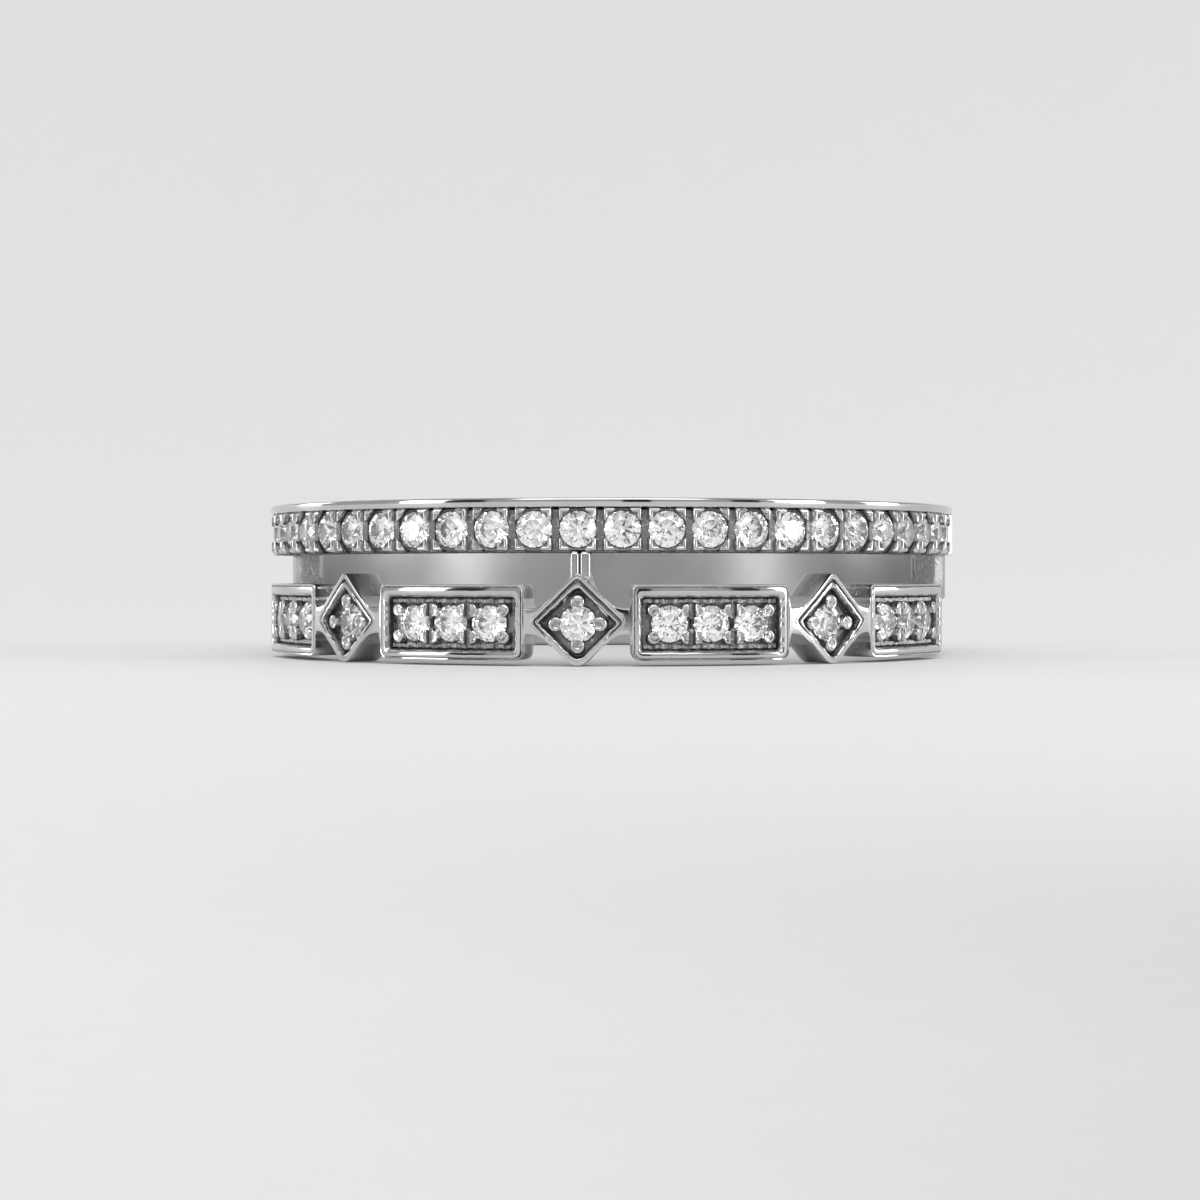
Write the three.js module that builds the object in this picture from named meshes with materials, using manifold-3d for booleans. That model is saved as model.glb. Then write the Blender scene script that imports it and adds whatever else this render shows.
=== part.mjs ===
// A two-row stackable ring, in millimetres. +Z is the finger axis, the front of the ring faces -Y,
// and the origin is on the axis, at the level of the surface that the ring lies on.
// The upper row is a rail of small round stones under a plain rim. The lower row is a chain of
// diamond and bar frames, joined by short necks, with stones set in their pockets.
// Angles go round the axis from the front, positive towards +X.
import * as THREE from "three";
import { mergeVertices } from "three/addons/utils/BufferGeometryUtils.js";
import Module from "manifold-3d";

const wasm = await Module();
wasm.setup();

// Band
const INSIDE_DIAMETER = 18.1;
const WALL = 1.15;
const INNER_EDGE_ROUND = 0.14;
const RING_STEPS = 72;

// Stones, all of one size, with the proportions of a round cut as shares of the diameter
const STONE_DIAMETER = 0.97;
const TABLE_SHARE = 0.56;
const CROWN_SHARE = 0.155;
const GIRDLE_SHARE = 0.03;
const PAVILION_SHARE = 0.42;
const STONE_FACETS = 12;
const SEAT_CLEARANCE = 0.03;

// Teeth between neighbouring stones, each split in two by a groove
const TOOTH_WIDTH = 0.5;
const TOOTH_FROM_LINE = 0.28;
const TOOTH_LENGTH = 0.29;
const TOOTH_BELOW_FACE = 0.03;
const GROOVE_WIDTH = 0.13;
const GROOVE_DEPTH = 0.2;

// Round beads that hold the stones elsewhere
const BEAD_RADIUS = 0.15;
const BEAD_TOP_RADIUS = 0.09;
const BEAD_GRIP = 0.055;
const BEAD_SIDES = 6;
const BEAD_BELOW_FACE = 0.03;
const BEAD_ROOT = 0.1;

// Upper row: a rail with a seat band, a plain rim above it and a groove between each two stones
const RAIL_STONE_GAP = 0.221;
const RAIL_BELOW_STONES = 0.145;
const RAIL_ABOVE_STONES = 0.085;
const RIM_HEIGHT = 0.25;
const RIM_ROUND = 0.06;
const SEAT_DEPTH = 0.24;
const RAIL_PLAIN_END = 1.9;

// Lower row: three diamond frames
const DIAMOND_SIDE_ROOM = 0.6;
const DIAMOND_TOP_ROOM = 0.475;
const DIAMOND_BOTTOM_ROOM = 0.385;
const DIAMOND_SIDE_FRAME = 0.175;
const DIAMOND_TOP_FRAME = 0.38;
const DIAMOND_BOTTOM_FRAME = 0.3;
const DIAMOND_CORNER = 0.2;
const DIAMONDS_EACH_SIDE = 1;

// Lower row: four bar frames, two on each side of the middle
const BAR_STONES = 3;
const BAR_STONE_GAP = 0.187;
const BAR_END_ROOM = 0.287;
const BAR_SIDE_ROOM = 0.215;
const BAR_END_FRAME = 0.245;
const BAR_TOP_FRAME = 0.34;
const BAR_BOTTOM_FRAME = 0.26;
const FRAME_BEVEL = 0.1;
const POCKET_DEPTH = 0.3;

// Necks between the frames, and the post between the rows
const NECK_LENGTH = 0.184;
const NECK_HEIGHT = 0.5;
const NECK_RISE = 0.06;
const NECK_BELOW_FACE = 0.06;
const POST_WIDTH = 0.45;
const POST_LENGTH = 0.58;
const POST_BELOW_FACE = 0.12;

// Plain shank, with shoulders where the rows end
const WINDOW_HALF_ANGLE = THREE.MathUtils.degToRad(95);
const SHOULDER_STEP = 1.65;
const SHOULDER_START = THREE.MathUtils.degToRad(102);
const SHOULDER_END = THREE.MathUtils.degToRad(130);
const SHANK_DOME = 0.32;
const SHOULDER_DOME = 0.06;
const DOME_STEPS = 6;
const ARM_BELOW_FACE = 0.3;
const ARM_LIFT = 0.3;
const ARM_OVERLAP = 0.3;

// Worked out from the sizes above
const boreRadius = INSIDE_DIAMETER / 2;
const faceRadius = boreRadius + WALL;
const castRadius = boreRadius - WALL / 4;
const stoneRadius = STONE_DIAMETER / 2;
const angleOf = (length) => length / faceRadius;

const railPitch = angleOf(STONE_DIAMETER + RAIL_STONE_GAP);
const railStonesEachSide = Math.floor((WINDOW_HALF_ANGLE - angleOf(RAIL_PLAIN_END)) / railPitch);
const barPitch = angleOf(STONE_DIAMETER + BAR_STONE_GAP);

const diamondPocket = {
  side: stoneRadius + DIAMOND_SIDE_ROOM,
  top: stoneRadius + DIAMOND_TOP_ROOM,
  bottom: stoneRadius + DIAMOND_BOTTOM_ROOM,
};
const diamondFrame = {
  side: diamondPocket.side + DIAMOND_SIDE_FRAME,
  top: diamondPocket.top + DIAMOND_TOP_FRAME,
  bottom: diamondPocket.bottom + DIAMOND_BOTTOM_FRAME,
};
const barPocketHalfAngle = (barPitch * (BAR_STONES - 1)) / 2 + angleOf(stoneRadius + BAR_END_ROOM);
const barHalfAngle = barPocketHalfAngle + angleOf(BAR_END_FRAME);
const patternPitch = angleOf(diamondFrame.side + NECK_LENGTH) + barHalfAngle;

// Heights, from the lowest tip of the diamonds at zero
const diamondOutline = diamondShape(diamondFrame);
const diamondSpan = heightSpan(diamondOutline);
const stoneLine = -diamondSpan.lowest;
const railBottom = stoneLine + diamondSpan.highest + POST_LENGTH;
const railStoneLine = railBottom + RAIL_BELOW_STONES + stoneRadius;
const rimBottom = railStoneLine + stoneRadius + RAIL_ABOVE_STONES;
const height = rimBottom + RIM_HEIGHT;
const barBottom = stoneLine - stoneRadius - BAR_SIDE_ROOM - BAR_BOTTOM_FRAME;
const barTop = stoneLine + stoneRadius + BAR_SIDE_ROOM + BAR_TOP_FRAME;

// Solids from geometries, and back
function solidFrom(geometry) {
  const plain = geometry.clone();
  plain.deleteAttribute("normal");
  plain.deleteAttribute("uv");
  const merged = mergeVertices(plain, 1e-4);
  return new wasm.Manifold(
    new wasm.Mesh({
      numProp: 3,
      vertProperties: merged.attributes.position.array,
      triVerts: new Uint32Array(merged.index.array),
    }),
  );
}

function geometryFrom(solid) {
  const mesh = solid.getMesh();
  const geometry = new THREE.BufferGeometry();
  geometry.setAttribute("position", new THREE.BufferAttribute(mesh.vertProperties, 3));
  geometry.setIndex(new THREE.BufferAttribute(mesh.triVerts, 1));
  const faceted = geometry.toNonIndexed();
  faceted.computeVertexNormals();
  return faceted;
}

function join(solids) {
  return solids.reduce((whole, solid) => whole.add(solid));
}

// A geometry whose local z points outwards and whose y points up, set on the ring at an angle
function onRing(geometry, angle, radius, z) {
  return geometry.clone().rotateX(Math.PI / 2).translate(0, -radius, z).rotateZ(angle);
}

// A body of revolution about the finger axis, from a closed profile of radius and height
function revolved(profile) {
  const closed = [...profile, profile[0]];
  return new THREE.LatheGeometry(closed, RING_STEPS).rotateX(Math.PI / 2);
}

// A stretch of the ring seen from above, between two radii and two angles, with bevelled outer corners
function sectorShape(inner, outer, from, to, corner) {
  const front = -Math.PI / 2;
  const turn = corner / outer;
  const side = outer - corner;
  const shape = new THREE.Shape();
  shape.absarc(0, 0, outer, front + from + turn, front + to - turn, false);
  if (corner > 0) shape.lineTo(side * Math.cos(front + to), side * Math.sin(front + to));
  shape.absarc(0, 0, inner, front + to, front + from, true);
  if (corner > 0) shape.lineTo(side * Math.cos(front + from), side * Math.sin(front + from));
  return shape;
}

// That stretch as a solid between two heights
function sector({ inner, outer, from, to, bottom, top, bevel = 0 }) {
  const steps = Math.max(2, Math.ceil(((to - from) * RING_STEPS) / (4 * Math.PI)));
  const geometry = new THREE.ExtrudeGeometry(sectorShape(inner, outer, from, to, bevel), {
    depth: top - bottom - 2 * bevel,
    bevelEnabled: bevel > 0,
    bevelThickness: bevel,
    bevelSize: bevel,
    bevelOffset: -bevel,
    bevelSegments: 1,
    curveSegments: steps,
  });
  return solidFrom(geometry.translate(0, 0, bottom + bevel));
}

// An upright diamond outline with rounded corners, about the stone's centre
function diamondShape({ side, top, bottom }, corner = DIAMOND_CORNER) {
  const corners = [
    new THREE.Vector2(side, NECK_RISE),
    new THREE.Vector2(0, top),
    new THREE.Vector2(-side, NECK_RISE),
    new THREE.Vector2(0, -bottom),
  ];
  const shape = new THREE.Shape();
  corners.forEach((point, i) => {
    const before = corners[(i + 3) % 4];
    const after = corners[(i + 1) % 4];
    const start = point.clone().lerp(before, corner / point.distanceTo(before));
    const end = point.clone().lerp(after, corner / point.distanceTo(after));
    if (i === 0) shape.moveTo(start.x, start.y);
    else shape.lineTo(start.x, start.y);
    shape.quadraticCurveTo(point.x, point.y, end.x, end.y);
  });
  shape.closePath();
  return shape;
}

// The lowest and highest points of an outline
function heightSpan(shape) {
  const heights = shape.getPoints(4).map((point) => point.y);
  return { lowest: Math.min(...heights), highest: Math.max(...heights) };
}

// The round cut: a table, a girdle, and a facet for each side of crown and pavilion
function stoneGeometry(growth = 1) {
  const girdle = (GIRDLE_SHARE * STONE_DIAMETER) / 2;
  const crownTop = girdle + CROWN_SHARE * STONE_DIAMETER;
  const culet = -girdle - PAVILION_SHARE * STONE_DIAMETER;
  const profile = [
    new THREE.Vector2(0, culet),
    new THREE.Vector2(stoneRadius, -girdle),
    new THREE.Vector2(stoneRadius, girdle),
    new THREE.Vector2(TABLE_SHARE * stoneRadius, crownTop),
    new THREE.Vector2(0, crownTop),
  ];
  const geometry = new THREE.LatheGeometry(profile, STONE_FACETS).rotateX(Math.PI / 2);
  return geometry.scale(growth, growth, growth);
}

// Every stone: its name, its place and the directions of the beads that hold it
const leftCorners = [135, 225];
const rightCorners = [45, 315];
const allRound = [0, 90, 180, 270];
const railGirdle = faceRadius - SEAT_DEPTH;
const pocketGirdle = faceRadius - POCKET_DEPTH + SEAT_CLEARANCE;

function railStones() {
  const stones = [];
  for (let i = -railStonesEachSide; i <= railStonesEachSide; i++) {
    const number = String(i + railStonesEachSide + 1).padStart(2, "0");
    const place = { angle: i * railPitch, radius: railGirdle, z: railStoneLine };
    stones.push({ name: "rail_stone_" + number, ...place, beads: [] });
  }
  return stones;
}

const sides = [
  { name: "left", sign: -1 },
  { name: "right", sign: 1 },
];

// The places of the frames, as turns of the pattern from the middle
const bars = [];
for (const side of sides) {
  bars.push({ name: side.name + "_inner_bar", angle: side.sign * patternPitch });
  bars.push({ name: side.name + "_outer_bar", angle: 3 * side.sign * patternPitch });
}
const diamonds = [{ name: "middle_diamond", angle: 0 }];
for (const side of sides)
  for (let i = 1; i <= DIAMONDS_EACH_SIDE; i++)
    diamonds.push({ name: side.name + "_diamond", angle: 2 * i * side.sign * patternPitch });

function barStones(bar) {
  return Array.from({ length: BAR_STONES }, (_, i) => ({
    name: bar.name + "_stone_" + (i + 1),
    angle: bar.angle + (i - (BAR_STONES - 1) / 2) * barPitch,
    radius: pocketGirdle,
    z: stoneLine,
    beads: [...(i === 0 ? leftCorners : []), ...(i === BAR_STONES - 1 ? rightCorners : [])],
  }));
}

function diamondStone(diamond) {
  const place = { angle: diamond.angle, radius: pocketGirdle, z: stoneLine };
  return { name: diamond.name + "_stone", ...place, beads: allRound };
}

const stones = [...railStones(), ...bars.flatMap(barStones), ...diamonds.map(diamondStone)];

// The rail all round, before it is cut to the front
function railRing() {
  const seat = faceRadius - SEAT_DEPTH;
  return solidFrom(
    revolved([
      new THREE.Vector2(castRadius, railBottom),
      new THREE.Vector2(seat, railBottom),
      new THREE.Vector2(seat, rimBottom),
      new THREE.Vector2(faceRadius, rimBottom),
      new THREE.Vector2(faceRadius, height - RIM_ROUND),
      new THREE.Vector2(faceRadius - RIM_ROUND, height),
      new THREE.Vector2(castRadius, height),
    ]),
  );
}

// A block that takes in the front of the ring, out to an angle on each side
function frontBlock(halfAngle) {
  return sector({
    inner: boreRadius / 2,
    outer: faceRadius + WALL,
    from: -halfAngle,
    to: halfAngle,
    bottom: -WALL,
    top: height + WALL,
  });
}

// The shank all round: a domed band whose lower edge rises to a step at the shoulders
function shankRing() {
  const profile = [new THREE.Vector2(castRadius, -1)];
  for (let i = 0; i <= DOME_STEPS; i++)
    profile.push(new THREE.Vector2(faceRadius, (2 * i) / DOME_STEPS - 1));
  profile.push(new THREE.Vector2(castRadius, 1));
  const geometry = revolved(profile);
  const position = geometry.attributes.position;
  for (let i = 0; i < position.count; i++) {
    const across = position.getZ(i);
    const angle = Math.abs(Math.atan2(position.getX(i), -position.getY(i)));
    const fullness = THREE.MathUtils.smoothstep(angle, SHOULDER_START, SHOULDER_END);
    const lower = SHOULDER_STEP * (1 - fullness);
    const dome = SHOULDER_DOME + (SHANK_DOME - SHOULDER_DOME) * fullness;
    const radius = Math.hypot(position.getX(i), position.getY(i));
    const outside = radius > (castRadius + faceRadius) / 2;
    const scale = outside ? (radius - dome * across ** 2) / radius : 1;
    const z = lower + ((height - lower) * (across + 1)) / 2;
    position.setXYZ(i, position.getX(i) * scale, position.getY(i) * scale, z);
  }
  return solidFrom(geometry);
}

function diamondBody(angle) {
  const depth = faceRadius - castRadius;
  const geometry = new THREE.ExtrudeGeometry(diamondOutline, {
    depth: depth - FRAME_BEVEL,
    bevelThickness: FRAME_BEVEL,
    bevelSize: FRAME_BEVEL,
    bevelOffset: -FRAME_BEVEL,
    bevelSegments: 1,
    curveSegments: 4,
  });
  return solidFrom(onRing(geometry, angle, castRadius, stoneLine));
}

function diamondPocketCut(angle) {
  const shape = diamondShape(diamondPocket, DIAMOND_CORNER / 2);
  const geometry = new THREE.ExtrudeGeometry(shape, {
    depth: POCKET_DEPTH + WALL,
    bevelEnabled: false,
    curveSegments: 2,
  });
  return solidFrom(onRing(geometry, angle, faceRadius - POCKET_DEPTH, stoneLine));
}

function barBody(angle) {
  return sector({
    inner: castRadius,
    outer: faceRadius,
    from: angle - barHalfAngle,
    to: angle + barHalfAngle,
    bottom: barBottom,
    top: barTop,
    bevel: FRAME_BEVEL,
  });
}

function barPocketCut(angle) {
  return sector({
    inner: faceRadius - POCKET_DEPTH,
    outer: faceRadius + WALL,
    from: angle - barPocketHalfAngle,
    to: angle + barPocketHalfAngle,
    bottom: stoneLine - stoneRadius - BAR_SIDE_ROOM,
    top: stoneLine + stoneRadius + BAR_SIDE_ROOM,
  });
}

// The short necks on both sides of a bar, reaching into the bar and the diamond beside it
function necks(bar) {
  const length = angleOf(NECK_LENGTH);
  return [-1, 1].map((side) => {
    const middle = bar.angle + side * (barHalfAngle + length / 2);
    return sector({
      inner: castRadius,
      outer: faceRadius - NECK_BELOW_FACE,
      from: middle - length * 1.4,
      to: middle + length * 1.4,
      bottom: stoneLine + NECK_RISE - NECK_HEIGHT / 2,
      top: stoneLine + NECK_RISE + NECK_HEIGHT / 2,
    });
  });
}

// The post that carries the rail on the top of the middle diamond
function post() {
  return sector({
    inner: castRadius,
    outer: faceRadius - POST_BELOW_FACE,
    from: -angleOf(POST_WIDTH / 2),
    to: angleOf(POST_WIDTH / 2),
    bottom: railBottom - POST_LENGTH - DIAMOND_TOP_FRAME / 2,
    top: railBottom + RAIL_BELOW_STONES / 2,
  });
}

// The plain end of the rail, from its last tooth into the shank
function railEnd(side) {
  const start = (railStonesEachSide + 0.5) * railPitch + angleOf(TOOTH_WIDTH / 2);
  const end = WINDOW_HALF_ANGLE + angleOf(WALL);
  return sector({
    inner: castRadius,
    outer: faceRadius,
    from: side.sign > 0 ? start : -end,
    to: side.sign > 0 ? end : -start,
    bottom: railBottom,
    top: height - RIM_ROUND,
  });
}

// The plain arm that leads from the last bar of the lower row into the shank
function arm(side) {
  const start = 3 * patternPitch + barHalfAngle - angleOf(BAR_END_FRAME / 2);
  return sector({
    inner: castRadius,
    outer: faceRadius - ARM_BELOW_FACE,
    from: side.sign > 0 ? start : -SHOULDER_END,
    to: side.sign > 0 ? SHOULDER_END : -start,
    bottom: ARM_LIFT,
    top: SHOULDER_STEP + ARM_OVERLAP,
  });
}

// The beads round one stone, each gripping its edge
function beads(stone) {
  const top = faceRadius - BEAD_BELOW_FACE;
  const foot = stone.radius - BEAD_ROOT;
  const reach = stoneRadius + BEAD_RADIUS - BEAD_GRIP;
  const bead = new THREE.CylinderGeometry(BEAD_TOP_RADIUS, BEAD_RADIUS, top - foot, BEAD_SIDES);
  bead.rotateX(Math.PI / 2).translate(0, 0, (top - foot) / 2);
  return stone.beads.map((degrees) => {
    const direction = THREE.MathUtils.degToRad(degrees);
    const across = reach * Math.cos(direction);
    const up = reach * Math.sin(direction);
    return solidFrom(onRing(bead, stone.angle + across / stone.radius, foot, stone.z + up));
  });
}

// The places between two neighbouring stones, and at both ends of the rail
function railGaps() {
  const gaps = [];
  for (let i = -railStonesEachSide; i <= railStonesEachSide + 1; i++)
    gaps.push({ angle: (i - 0.5) * railPitch, radius: railGirdle, line: railStoneLine });
  return gaps;
}

function barGaps(bar) {
  return Array.from({ length: BAR_STONES - 1 }, (_, i) => ({
    angle: bar.angle + (i + 1 - BAR_STONES / 2) * barPitch,
    radius: pocketGirdle,
    line: stoneLine,
  }));
}

// A block that stands out of the ring at a gap, from one height to another
function blockAt({ angle }, width, from, to, bottom, top) {
  const box = new THREE.BoxGeometry(width, top - bottom, to - from);
  box.translate(0, 0, (to - from) / 2);
  return solidFrom(onRing(box, angle, from, (top + bottom) / 2));
}

function teeth(gap) {
  const from = gap.radius - BEAD_ROOT;
  const to = faceRadius - TOOTH_BELOW_FACE;
  const near = gap.line + TOOTH_FROM_LINE;
  const below = gap.line - TOOTH_FROM_LINE;
  return [
    blockAt(gap, TOOTH_WIDTH, from, to, near, near + TOOTH_LENGTH),
    blockAt(gap, TOOTH_WIDTH, from, to, below - TOOTH_LENGTH, below),
  ];
}

function groove(gap, bottom, top) {
  const from = gap.radius - GROOVE_DEPTH;
  return blockAt(gap, GROOVE_WIDTH, from, from + WALL, bottom, top);
}

// The finger hole, opening a little at both ends so that the inner edges are eased
function finger() {
  return solidFrom(
    revolved([
      new THREE.Vector2(0, -WALL),
      new THREE.Vector2(boreRadius + INNER_EDGE_ROUND, -WALL),
      new THREE.Vector2(boreRadius + INNER_EDGE_ROUND, 0),
      new THREE.Vector2(boreRadius, INNER_EDGE_ROUND),
      new THREE.Vector2(boreRadius, height - INNER_EDGE_ROUND),
      new THREE.Vector2(boreRadius + INNER_EDGE_ROUND, height),
      new THREE.Vector2(boreRadius + INNER_EDGE_ROUND, height + WALL),
      new THREE.Vector2(0, height + WALL),
    ]),
  );
}

// The metal, cast in one piece
function castRing() {
  const rail = railRing().intersect(frontBlock(WINDOW_HALF_ANGLE + angleOf(WALL)));
  const shank = shankRing().subtract(frontBlock(WINDOW_HALF_ANGLE));
  const frames = [
    ...diamonds.map((diamond) => diamondBody(diamond.angle)),
    ...bars.map((bar) => barBody(bar.angle)),
    ...bars.flatMap(necks),
  ];
  const pockets = join([
    ...diamonds.map((diamond) => diamondPocketCut(diamond.angle)),
    ...bars.map((bar) => barPocketCut(bar.angle)),
  ]);
  const plain = [shank, rail, post(), ...sides.map(railEnd), ...sides.map(arm)];
  const blank = join([...plain, ...frames]).subtract(pockets);
  const pocketHalf = stoneRadius + BAR_SIDE_ROOM;
  const gapsInRail = railGaps();
  const gapsInBars = bars.flatMap(barGaps);
  const grooves = join([
    ...gapsInRail.map((gap) => groove(gap, railBottom - WALL, rimBottom)),
    ...gapsInBars.map((gap) => groove(gap, stoneLine - pocketHalf, stoneLine + pocketHalf)),
  ]);
  const held = [...gapsInRail.flatMap(teeth), ...gapsInBars.flatMap(teeth), ...stones.flatMap(beads)];
  const beaded = join([blank, ...held]).subtract(grooves);
  const grown = stoneGeometry(1 + SEAT_CLEARANCE / stoneRadius);
  const seats = stones.map((stone) =>
    solidFrom(onRing(grown, stone.angle, stone.radius, stone.z)),
  );
  return beaded.subtract(join([...seats, finger()]));
}

const silver = { color: 0xc9cacc, roughness: 0.12, metalness: 1 };
const clear = { color: 0xf4f6f8, roughness: 0.03, metalness: 0 };

function metalMesh() {
  const mesh = new THREE.Mesh(geometryFrom(castRing()), new THREE.MeshStandardMaterial(silver));
  mesh.name = "ring_casting";
  return mesh;
}

function stoneMesh(stone, geometry) {
  const mesh = new THREE.Mesh(geometry, new THREE.MeshStandardMaterial(clear));
  mesh.name = stone.name;
  mesh.rotation.x = Math.PI / 2;
  mesh.position.set(0, -stone.radius, stone.z);
  const turned = new THREE.Group();
  turned.rotation.z = stone.angle;
  turned.add(mesh);
  return turned;
}

const cut = stoneGeometry();
const ring = new THREE.Group();
ring.add(metalMesh(), ...stones.map((stone) => stoneMesh(stone, cut)));

export default ring;
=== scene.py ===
"""A two-row stackable ring in polished silver with clear stones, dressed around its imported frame.

Lengths in this file are millimetres until a mesh is written, which is in metres.
Angles go round the finger axis from the front (-Y), positive towards +X.
"""

import logging
import math
from dataclasses import dataclass
from enum import Enum
from typing import Any, Sequence

import bmesh
import bpy
import numpy as np
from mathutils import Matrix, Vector


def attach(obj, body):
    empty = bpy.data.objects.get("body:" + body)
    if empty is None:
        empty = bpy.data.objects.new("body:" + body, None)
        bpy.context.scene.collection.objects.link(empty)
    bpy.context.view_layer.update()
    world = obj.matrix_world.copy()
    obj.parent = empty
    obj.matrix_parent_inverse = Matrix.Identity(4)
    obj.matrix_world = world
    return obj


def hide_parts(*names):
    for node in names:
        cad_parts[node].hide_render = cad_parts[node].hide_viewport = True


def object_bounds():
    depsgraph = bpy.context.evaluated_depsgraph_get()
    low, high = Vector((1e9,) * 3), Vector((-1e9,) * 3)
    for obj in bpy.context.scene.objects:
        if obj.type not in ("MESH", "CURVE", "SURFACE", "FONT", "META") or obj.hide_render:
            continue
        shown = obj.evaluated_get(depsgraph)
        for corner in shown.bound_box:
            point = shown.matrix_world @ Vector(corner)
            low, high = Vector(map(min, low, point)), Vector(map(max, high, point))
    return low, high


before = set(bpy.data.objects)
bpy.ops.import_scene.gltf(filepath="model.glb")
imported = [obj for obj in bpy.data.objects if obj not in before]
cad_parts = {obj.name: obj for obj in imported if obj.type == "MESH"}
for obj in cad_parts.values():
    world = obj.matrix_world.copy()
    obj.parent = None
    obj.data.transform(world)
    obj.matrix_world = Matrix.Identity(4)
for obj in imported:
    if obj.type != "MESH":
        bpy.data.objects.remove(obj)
CAD_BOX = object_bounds()

LOG = logging.getLogger("stackable_ring")
MM = 0.001
SATIN = -0.9
CASTING = ("ring_casting",)
Array = np.ndarray
Outline = Sequence[tuple[float, float]]
Front = Sequence[tuple[float, float, float]]
Colour = tuple[float, float, float, float]


class Slot(Enum):
    """The record's material slots."""

    METAL = "metal"
    STONE = "stone"


class Grip(Enum):
    """How a stone is held, by corner claws or by beads on its axes, as directions along the ring and up."""

    CORNERS = ((1, 1), (-1, 1), (-1, -1), (1, -1))
    AXES = ((1, 0), (0, 1), (-1, 0), (0, -1))


@dataclass(frozen=True)
class Sizes:
    """The ring's main sizes in millimetres, the overall ones read from the frame."""

    face: float = (CAD_BOX[1].x - CAD_BOX[0].x) / 2 / MM
    height: float = CAD_BOX[1].z / MM
    wall: float = 1.15
    stone: float = 0.97
    stone_line: float = 1.10
    rail_bottom: float = 2.949
    rail_line: float = 3.579
    rim_bottom: float = 4.149
    seat_depth: float = 0.24
    pocket_depth: float = 0.30
    stone_rise: float = 0.03
    hole: float = 0.495
    window: float = math.radians(95)

    @property
    def bore(self) -> float:
        """The radius of the finger hole."""
        return self.face - self.wall

    @property
    def pocket_floor(self) -> float:
        """The radius of the seats in the pockets."""
        return self.face - self.pocket_depth

    def turn(self, length: float | Array) -> float | Array:
        """The angle of a length measured along the face."""
        return length / self.face


SIZES = Sizes()


@dataclass
class Surface:
    """A mesh as arrays: points in millimetres, faces of one kind, and how much painted shade each point
    gets.

    A value below zero says how satin the point is instead of its painted shade.
    """

    points: Array
    faces: Array
    recess: Array

    @staticmethod
    def grid(points: Array, recess: Array, wrap: bool = True) -> "Surface":
        """Joins a grid of points with quads.

        Args:
            points: rows by columns by three.
            recess: rows by columns of painted shade, with satin below zero.
            wrap: whether the last column meets the first.

        Returns:
            The surface, with one quad between each four neighbours.
        """
        rows, columns = recess.shape
        across = columns if wrap else columns - 1
        i, j = np.meshgrid(np.arange(rows - 1), np.arange(across), indexing="ij")
        after = (j + 1) % columns
        corners = (i * columns + j, i * columns + after, (i + 1) * columns + after, (i + 1) * columns + j)
        quads = np.stack(corners, axis=-1).reshape(-1, 4)
        return Surface(points.reshape(-1, 3), quads, recess.reshape(-1))

    @staticmethod
    def joined(parts: Sequence["Surface"]) -> "Surface":
        """Puts surfaces of the same kind of face into one.

        Args:
            parts: the surfaces, in order.

        Returns:
            The one surface.
        """
        starts = np.cumsum([0] + [len(part.points) for part in parts[:-1]])
        faces = np.concatenate([part.faces + start for part, start in zip(parts, starts)])
        points = np.concatenate([part.points for part in parts])
        return Surface(points, faces, np.concatenate([part.recess for part in parts]))


def on_ring(angle: Array, radius: Array, z: Array) -> Array:
    """Places points at an angle round the axis, a radius from it and a height."""
    angle, radius, z = np.broadcast_arrays(angle, radius, z)
    return np.stack([radius * np.sin(angle), -radius * np.cos(angle), z], axis=-1)


@dataclass(frozen=True)
class Finish:
    """A material and the record's slot for it."""

    material: bpy.types.Material
    slot: Slot


def make_piece(
    name: str,
    surfaces: Sequence[Surface],
    finish: Finish,
    sharp: float,
    nodes: Sequence[str] = CASTING,
) -> bpy.types.Object:
    """Writes surfaces into a new object that rides on the ring and stands for its solids.

    Args:
        name: the piece's name.
        surfaces: the parts of its mesh, in millimetres.
        finish: its material and slot.
        sharp: edges bent by more than this many degrees stay sharp.
        nodes: the solids that it stands for.

    Returns:
        The object, at the origin with its place in its mesh.
    """
    surface = Surface.joined(surfaces)
    mesh = bpy.data.meshes.new(name)
    sides = surface.faces.shape[1]
    mesh.vertices.add(len(surface.points))
    mesh.vertices.foreach_set("co", (surface.points * MM).astype(np.float32).ravel())
    mesh.loops.add(surface.faces.size)
    mesh.loops.foreach_set("vertex_index", surface.faces.astype(np.int32).ravel())
    mesh.polygons.add(len(surface.faces))
    mesh.polygons.foreach_set("loop_start", np.arange(0, surface.faces.size, sides, dtype=np.int32))
    mesh.update(calc_edges=True)
    # Each point's painted shade, and below zero its satin, goes to the material as an attribute.
    attribute = mesh.attributes.new("recess", "FLOAT", "POINT")
    attribute.data.foreach_set("value", surface.recess.astype(np.float32))
    work = bmesh.new()
    work.from_mesh(mesh)
    bmesh.ops.remove_doubles(work, verts=work.verts, dist=1e-7)
    bmesh.ops.dissolve_degenerate(work, edges=work.edges, dist=1e-8)
    bmesh.ops.recalc_face_normals(work, faces=work.faces)
    work.to_mesh(mesh)
    work.free()
    mesh.polygons.foreach_set("use_smooth", np.ones(len(mesh.polygons), dtype=bool))
    mesh.set_sharp_from_angle(angle=math.radians(sharp))
    mesh.materials.append(finish.material)
    piece = bpy.data.objects.new(name, mesh)
    bpy.context.scene.collection.objects.link(piece)
    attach(piece, "root")
    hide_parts(*nodes)
    LOG.info("%s: %d faces", name, len(mesh.polygons))
    return piece


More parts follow.
